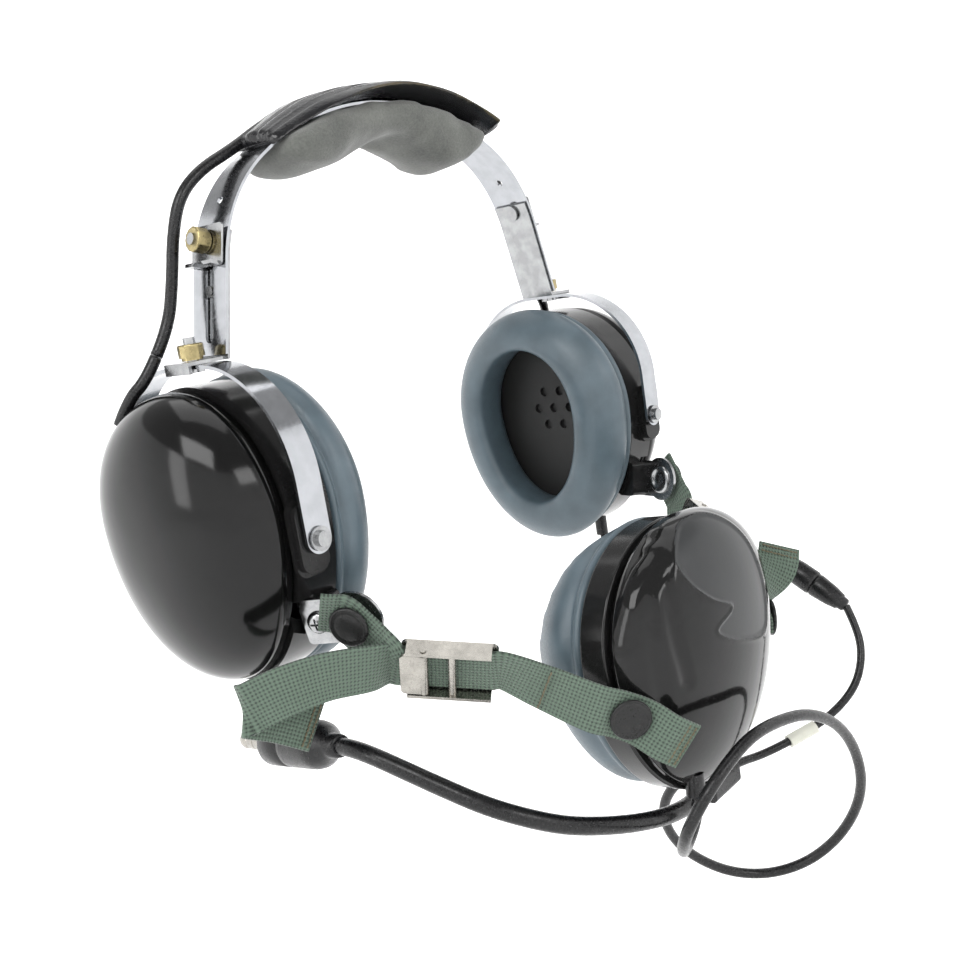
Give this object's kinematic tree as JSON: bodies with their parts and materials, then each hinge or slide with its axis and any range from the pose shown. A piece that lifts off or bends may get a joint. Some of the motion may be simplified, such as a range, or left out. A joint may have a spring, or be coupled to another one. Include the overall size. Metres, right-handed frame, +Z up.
{
  "type": "aviation headset",
  "caption": "Headset with glossy ear domes on a sprung padded headband, a mouth muff on webbing straps with cam buckles, and its cords and phone plug.",
  "frame": {"origin": "midway between the four stirrup pivots, the centre of the wearer's head on the ear axis", "axes": "+X to the wearer's left, -Y the way the wearer faces, +Z up through the crown of the headband"},
  "size_m": [0.2664, 0.2027, 0.3381],
  "materials": {
    "band_chrome": "polished",
    "cover_vinyl": "glossy",
    "pad_suede": "suede",
    "bright_steel": "polished",
    "nut_brass": "knurled, worn",
    "dome_black": "gloss",
    "rim_black": "gloss",
    "seal_grey": "satin",
    "inner_black": "matte",
    "webbing_green": "woven",
    "buckle_nickel": "satin, worn",
    "snap_black": "enamel",
    "cord_black": "satin",
    "plug_black": "satin",
    "sleeve_white": "satin",
    "barrel_nickel": "polished"
  },
  "bodies": {
    "headband": {"headband_spring": "band_chrome", "headband_cover": "cover_vinyl", "headband_pad": "pad_suede", "right_overhead_cable_upper": "cord_black", "left_overhead_cable_upper": "cord_black"},
    "right_adjuster": {"right_adjuster_strip": "bright_steel", "right_guide_clip": "bright_steel", "right_adjuster_studs": "bright_steel", "right_stirrup": "bright_steel"},
    "right_upper_thumb_nut": {"right_upper_nut": "nut_brass"},
    "right_lower_thumb_nut": {"right_lower_nut": "nut_brass"},
    "right_ear": {"right_dome": "dome_black", "right_rim": "rim_black", "right_ear_seal": "seal_grey", "right_baffle_plate": "inner_black", "right_earphone": "inner_black", "right_pivot_pins": "bright_steel", "right_strap_plate": "bright_steel", "right_ear_snap": "snap_black", "right_overhead_cable_lower": "cord_black"},
    "right_webbing": {"right_strap": "webbing_green", "right_buckle_frame": "buckle_nickel"},
    "right_lever": {"right_buckle_lever": "buckle_nickel"},
    "left_adjuster": {"left_adjuster_strip": "bright_steel", "left_guide_clip": "bright_steel", "left_adjuster_studs": "bright_steel", "left_stirrup": "bright_steel"},
    "left_upper_thumb_nut": {"left_upper_nut": "nut_brass"},
    "left_lower_thumb_nut": {"left_lower_nut": "nut_brass"},
    "left_ear": {"left_dome": "dome_black", "left_rim": "rim_black", "left_ear_seal": "seal_grey", "left_baffle_plate": "inner_black", "left_earphone": "inner_black", "left_pivot_pins": "bright_steel", "left_strap_plate": "bright_steel", "left_ear_snap": "snap_black", "left_overhead_cable_lower": "cord_black", "ear_gland": "plug_black", "ear_lead": "cord_black"},
    "left_webbing": {"left_strap": "webbing_green", "left_buckle_frame": "buckle_nickel"},
    "left_lever": {"left_buckle_lever": "buckle_nickel"},
    "mask": {"mask_shell": "dome_black", "mask_rim": "rim_black", "mask_seal": "seal_grey", "microphone": "inner_black", "mask_snaps": "snap_black", "mic_gland": "plug_black", "mic_lead": "cord_black", "cable_junction": "plug_black", "main_cable": "cord_black", "plug_body": "plug_black", "plug_barrel": "barrel_nickel", "headset_lead": "cord_black", "marker_sleeve": "sleeve_white", "connector_plug": "plug_black", "connector_socket": "plug_black"}
  },
  "joints": [
    {"name": "right_adjuster_slide", "type": "slide", "parent": "headband", "child": "right_adjuster", "axis": [-0.2334, 0, -0.9724], "range_m": [0, 0.015], "deforming": ["right_overhead_cable_upper", "right_strap"]},
    {"name": "right_upper_nut_spin", "type": "hinge", "parent": "right_adjuster", "child": "right_upper_thumb_nut", "pos_m": [-0.08644, 0, 0.09813], "axis": [-0.9724, 0, 0.2334], "continuous": true},
    {"name": "right_lower_nut_spin", "type": "hinge", "parent": "right_adjuster", "child": "right_lower_thumb_nut", "pos_m": [-0.0983, 0, 0.062], "axis": [0, 0, 1], "continuous": true},
    {"name": "right_ear_tilt", "type": "hinge", "parent": "right_adjuster", "child": "right_ear", "pos_m": [-0.0983, 0, 0], "axis": [0, 1, 0], "range_deg": [-6, 6], "deforming": ["right_overhead_cable_lower", "right_strap"]},
    {"name": "right_strap_swing", "type": "hinge", "parent": "right_adjuster", "child": "right_webbing", "pos_m": [-0.095, -0.05341, -0.02876], "axis": [1, 0, 0], "range_deg": [-8, 6], "deforming": ["right_strap"]},
    {"name": "right_lever_flip", "type": "hinge", "parent": "right_webbing", "child": "right_lever", "pos_m": [-0.0855, -0.07147, -0.04724], "axis": [-0.2234, -0.3846, 0.8956], "range_deg": [0, 100]},
    {"name": "left_adjuster_slide", "type": "slide", "parent": "headband", "child": "left_adjuster", "axis": [0.2334, 0, -0.9724], "range_m": [0, 0.015], "deforming": ["left_overhead_cable_upper", "left_strap"]},
    {"name": "left_upper_nut_spin", "type": "hinge", "parent": "left_adjuster", "child": "left_upper_thumb_nut", "pos_m": [0.08644, 0, 0.09813], "axis": [0.9724, 0, 0.2334], "continuous": true},
    {"name": "left_lower_nut_spin", "type": "hinge", "parent": "left_adjuster", "child": "left_lower_thumb_nut", "pos_m": [0.0983, 0, 0.062], "axis": [0, 0, 1], "continuous": true},
    {"name": "left_ear_tilt", "type": "hinge", "parent": "left_adjuster", "child": "left_ear", "pos_m": [0.0983, 0, 0], "axis": [0, 1, 0], "range_deg": [-6, 6], "deforming": ["left_overhead_cable_lower", "left_strap", "ear_lead"]},
    {"name": "left_strap_swing", "type": "hinge", "parent": "left_adjuster", "child": "left_webbing", "pos_m": [0.095, -0.05341, -0.02876], "axis": [1, 0, 0], "range_deg": [-8, 6], "deforming": ["left_strap", "ear_lead"]},
    {"name": "left_lever_flip", "type": "hinge", "parent": "left_webbing", "child": "left_lever", "pos_m": [0.0855, -0.07147, -0.04724], "axis": [-0.2234, 0.3846, -0.8956], "range_deg": [0, 100]},
    {"name": "mask_tilt", "type": "hinge", "parent": "right_webbing", "child": "mask", "pos_m": [0, -0.1195, -0.0703], "axis": [1, 0, 0], "range_deg": [-5, 3], "deforming": ["right_strap", "left_strap", "ear_lead"]}
  ],
  "couplings": [
    {"joint": "left_adjuster_slide", "follows": "right_adjuster_slide", "ratio": 1},
    {"joint": "left_strap_swing", "follows": "right_strap_swing", "ratio": 1}
  ]
}
